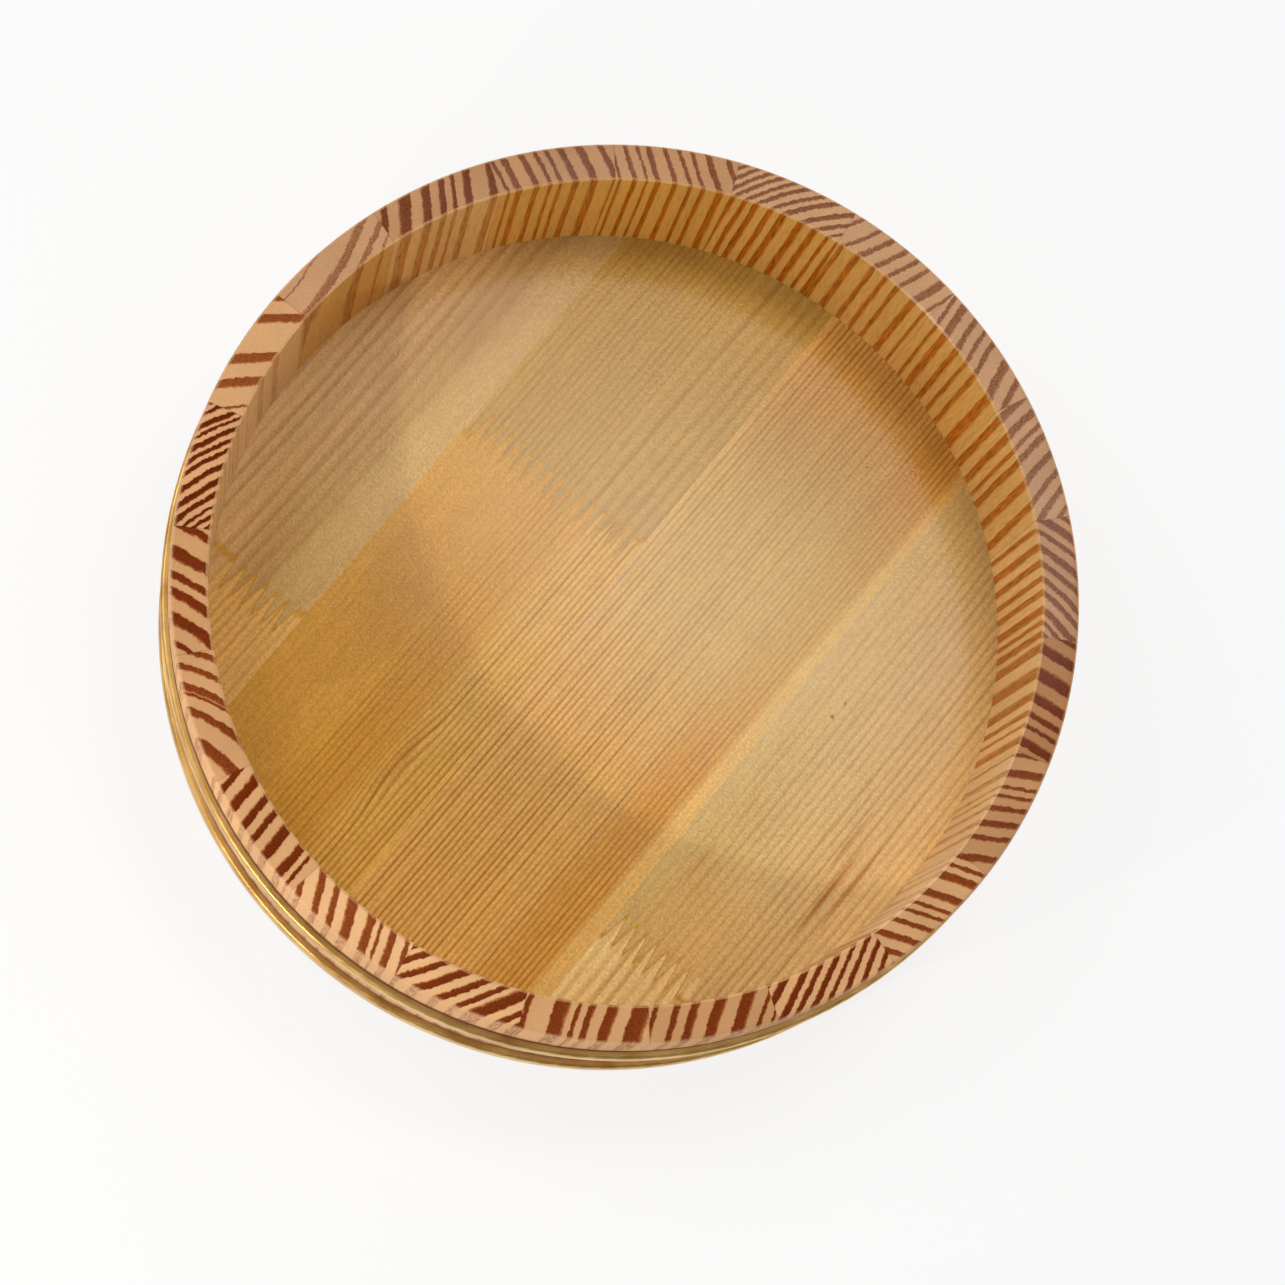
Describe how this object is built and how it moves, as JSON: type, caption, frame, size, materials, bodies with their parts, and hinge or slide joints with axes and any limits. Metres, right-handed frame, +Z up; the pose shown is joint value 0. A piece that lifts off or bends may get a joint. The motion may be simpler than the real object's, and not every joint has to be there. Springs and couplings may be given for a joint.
{
  "type": "sushi rice tub",
  "caption": "Low round coopered wooden tub for cooling and seasoning sushi rice, with upright staves, a flat glued-up base and two metal hoops.",
  "frame": {"origin": "centre of the tub on the ground, at the feet of the staves", "axes": "+Z up through the middle of the tub, +Y along the grain of the base boards, +X across them"},
  "size_m": [0.3048, 0.3048, 0.088],
  "materials": {
    "stave_wood": "clear lacquered pine, satin, end grain on the rim",
    "board_wood_pale": "clear lacquered pale pine, satin",
    "board_wood_tan": "clear lacquered fine-ringed pine, satin",
    "board_wood_amber": "clear lacquered resinous pine, satin",
    "hoop_metal": "polished gold-coloured brass band"
  },
  "bodies": {
    "root": {"stave_01": "stave_wood", "stave_02": "stave_wood", "stave_03": "stave_wood", "stave_04": "stave_wood", "stave_05": "stave_wood", "stave_06": "stave_wood", "stave_07": "stave_wood", "stave_08": "stave_wood", "stave_09": "stave_wood", "stave_10": "stave_wood", "stave_11": "stave_wood", "stave_12": "stave_wood", "stave_13": "stave_wood", "stave_14": "stave_wood", "stave_15": "stave_wood", "stave_16": "stave_wood", "stave_17": "stave_wood", "stave_18": "stave_wood", "stave_19": "stave_wood", "stave_20": "stave_wood", "stave_21": "stave_wood", "stave_22": "stave_wood", "board_1_upper": "board_wood_pale", "board_1_lower": "board_wood_amber", "board_2_upper": "board_wood_tan", "board_2_lower": "board_wood_amber", "board_3": "board_wood_tan", "board_4_upper": "board_wood_pale", "board_4_lower": "board_wood_pale", "upper_hoop": "hoop_metal", "lower_hoop": "hoop_metal"}
  },
  "joints": []
}
